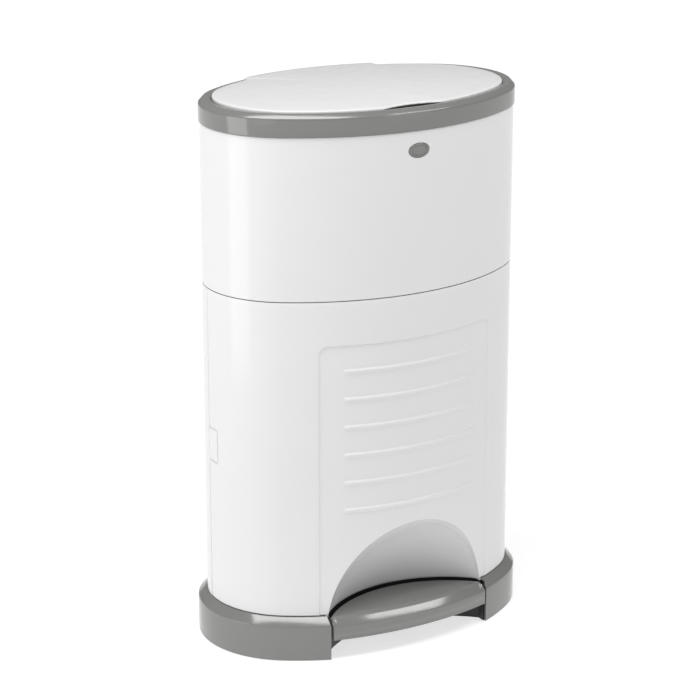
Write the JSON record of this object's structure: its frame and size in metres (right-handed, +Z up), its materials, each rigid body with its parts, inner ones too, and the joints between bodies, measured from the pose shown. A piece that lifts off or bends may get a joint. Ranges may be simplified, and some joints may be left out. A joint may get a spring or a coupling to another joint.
{
  "type": "pedal nappy bin",
  "caption": "Oval pedal nappy bin: tilting upper unit with lid and throat shutters, hinged front door with ribs, grey plinth, pedal and lid ring.",
  "frame": {"origin": "on the floor under the middle of the oval body", "axes": "+Z up, the front with its pedal and door faces -Y, +X to the right seen from the front"},
  "size_m": [0.36, 0.24, 0.57],
  "materials": {
    "white_gloss": "glossy moulded shell",
    "grey_gloss": "glossy moulded mid grey",
    "light_plastic": "plain moulded light grey",
    "dark_plastic": "plain moulded black",
    "film": "folded thin film",
    "rubber": "soft, matt",
    "steel": "drawn wire and rod"
  },
  "bodies": {
    "base_unit": {"base_plinth": "grey_gloss", "floor_tray": "light_plastic", "rubber_feet": "rubber", "pedal_well": "dark_plastic", "pedal_pivot_pin": "steel", "pedal_spring": "steel", "base_screws": "steel", "rod_guides": "light_plastic", "rod_cover": "light_plastic", "rear_shell": "white_gloss", "door_hinge_pins": "steel", "latch_strike": "white_gloss", "cassette_deck": "light_plastic", "cassette_body": "light_plastic", "liner_film": "film", "cassette_cap": "light_plastic", "cutter_housing": "grey_gloss", "cutter_blade": "steel", "tilt_hinge_pins": "steel"},
    "pedal_arm": {"pedal": "grey_gloss", "pedal_lever": "dark_plastic"},
    "lower_rod": {"lower_lift_rod": "steel"},
    "door": {"front_door": "white_gloss", "latch_housing": "light_plastic", "latch_spring": "steel"},
    "latch": {"door_latch": "white_gloss"},
    "top_unit": {"upper_shell": "white_gloss", "lid_ring": "grey_gloss", "lid_seal": "rubber", "chute": "light_plastic", "ring_screws": "steel", "lid_hinge_pin": "steel", "rod_bracket": "light_plastic", "release_pivot_pin": "steel", "release_spring": "steel"},
    "lid_unit": {"lid": "white_gloss", "lid_liner": "light_plastic"},
    "upper_rod": {"upper_lift_rod": "steel", "shutter_crosshead": "dark_plastic"},
    "left_shutter": {"shutter_shaft_left": "steel", "shutter_flap_left": "light_plastic", "shutter_seal_left": "rubber"},
    "right_shutter": {"shutter_shaft_right": "steel", "shutter_flap_right": "light_plastic", "shutter_seal_right": "rubber"},
    "button": {"release_button": "grey_gloss"},
    "release": {"release_lever": "dark_plastic"}
  },
  "joints": [
    {"name": "pedal_hinge", "type": "hinge", "parent": "base_unit", "child": "pedal_arm", "pos_m": [0, 0.02, 0.022], "axis": [1, 0, 0], "range_deg": [0, 7.5], "stiffness_Nm_per_rad": 2, "springref_deg": -14.32},
    {"name": "lower_rod_lift", "type": "slide", "parent": "base_unit", "child": "lower_rod", "axis": [0, 0, 1], "range_m": [0, 0.01012]},
    {"name": "door_hinge", "type": "hinge", "parent": "base_unit", "child": "door", "pos_m": [0.1714, 0.014, 0.2], "axis": [0, 0, 1], "range_deg": [0, 110]},
    {"name": "door_latch_slide", "type": "slide", "parent": "door", "child": "latch", "axis": [1, 0, 0], "range_m": [0, 0.003], "stiffness_N_per_m": 300, "springref_m": -0.002},
    {"name": "top_unit_hinge", "type": "hinge", "parent": "base_unit", "child": "top_unit", "pos_m": [0, 0.114, 0.3784], "axis": [-1, 0, 0], "range_deg": [0, 100]},
    {"name": "lid_hinge", "type": "hinge", "parent": "top_unit", "child": "lid_unit", "pos_m": [0, 0.105, 0.562], "axis": [-1, 0, 0], "range_deg": [0, 80]},
    {"name": "upper_rod_lift", "type": "slide", "parent": "top_unit", "child": "upper_rod", "axis": [0, 0, 1], "range_m": [0, 0.01012]},
    {"name": "left_shutter_hinge", "type": "hinge", "parent": "top_unit", "child": "left_shutter", "pos_m": [-0.069, 0, 0.455], "axis": [0, 1, 0], "range_deg": [0, 75]},
    {"name": "right_shutter_hinge", "type": "hinge", "parent": "top_unit", "child": "right_shutter", "pos_m": [0.069, 0, 0.455], "axis": [0, -1, 0], "range_deg": [0, 75]},
    {"name": "release_button_slide", "type": "slide", "parent": "top_unit", "child": "button", "axis": [0, 1, 0], "range_m": [0, 0.003], "stiffness_N_per_m": 300, "springref_m": -0.002},
    {"name": "release_lever_hinge", "type": "hinge", "parent": "top_unit", "child": "release", "pos_m": [0, -0.098, 0.45], "axis": [-1, 0, 0], "range_deg": [0, 2.4]}
  ],
  "couplings": [
    {"joint": "lower_rod_lift", "follows": "pedal_hinge", "m_per_rad": 0.077271},
    {"joint": "upper_rod_lift", "follows": "pedal_hinge", "m_per_rad": 0.077271},
    {"joint": "lid_hinge", "follows": "pedal_hinge", "ratio": 10.66},
    {"joint": "left_shutter_hinge", "follows": "pedal_hinge", "ratio": 10},
    {"joint": "right_shutter_hinge", "follows": "pedal_hinge", "ratio": 10},
    {"joint": "release_lever_hinge", "follows": "release_button_slide", "rad_per_m": 13.6}
  ]
}
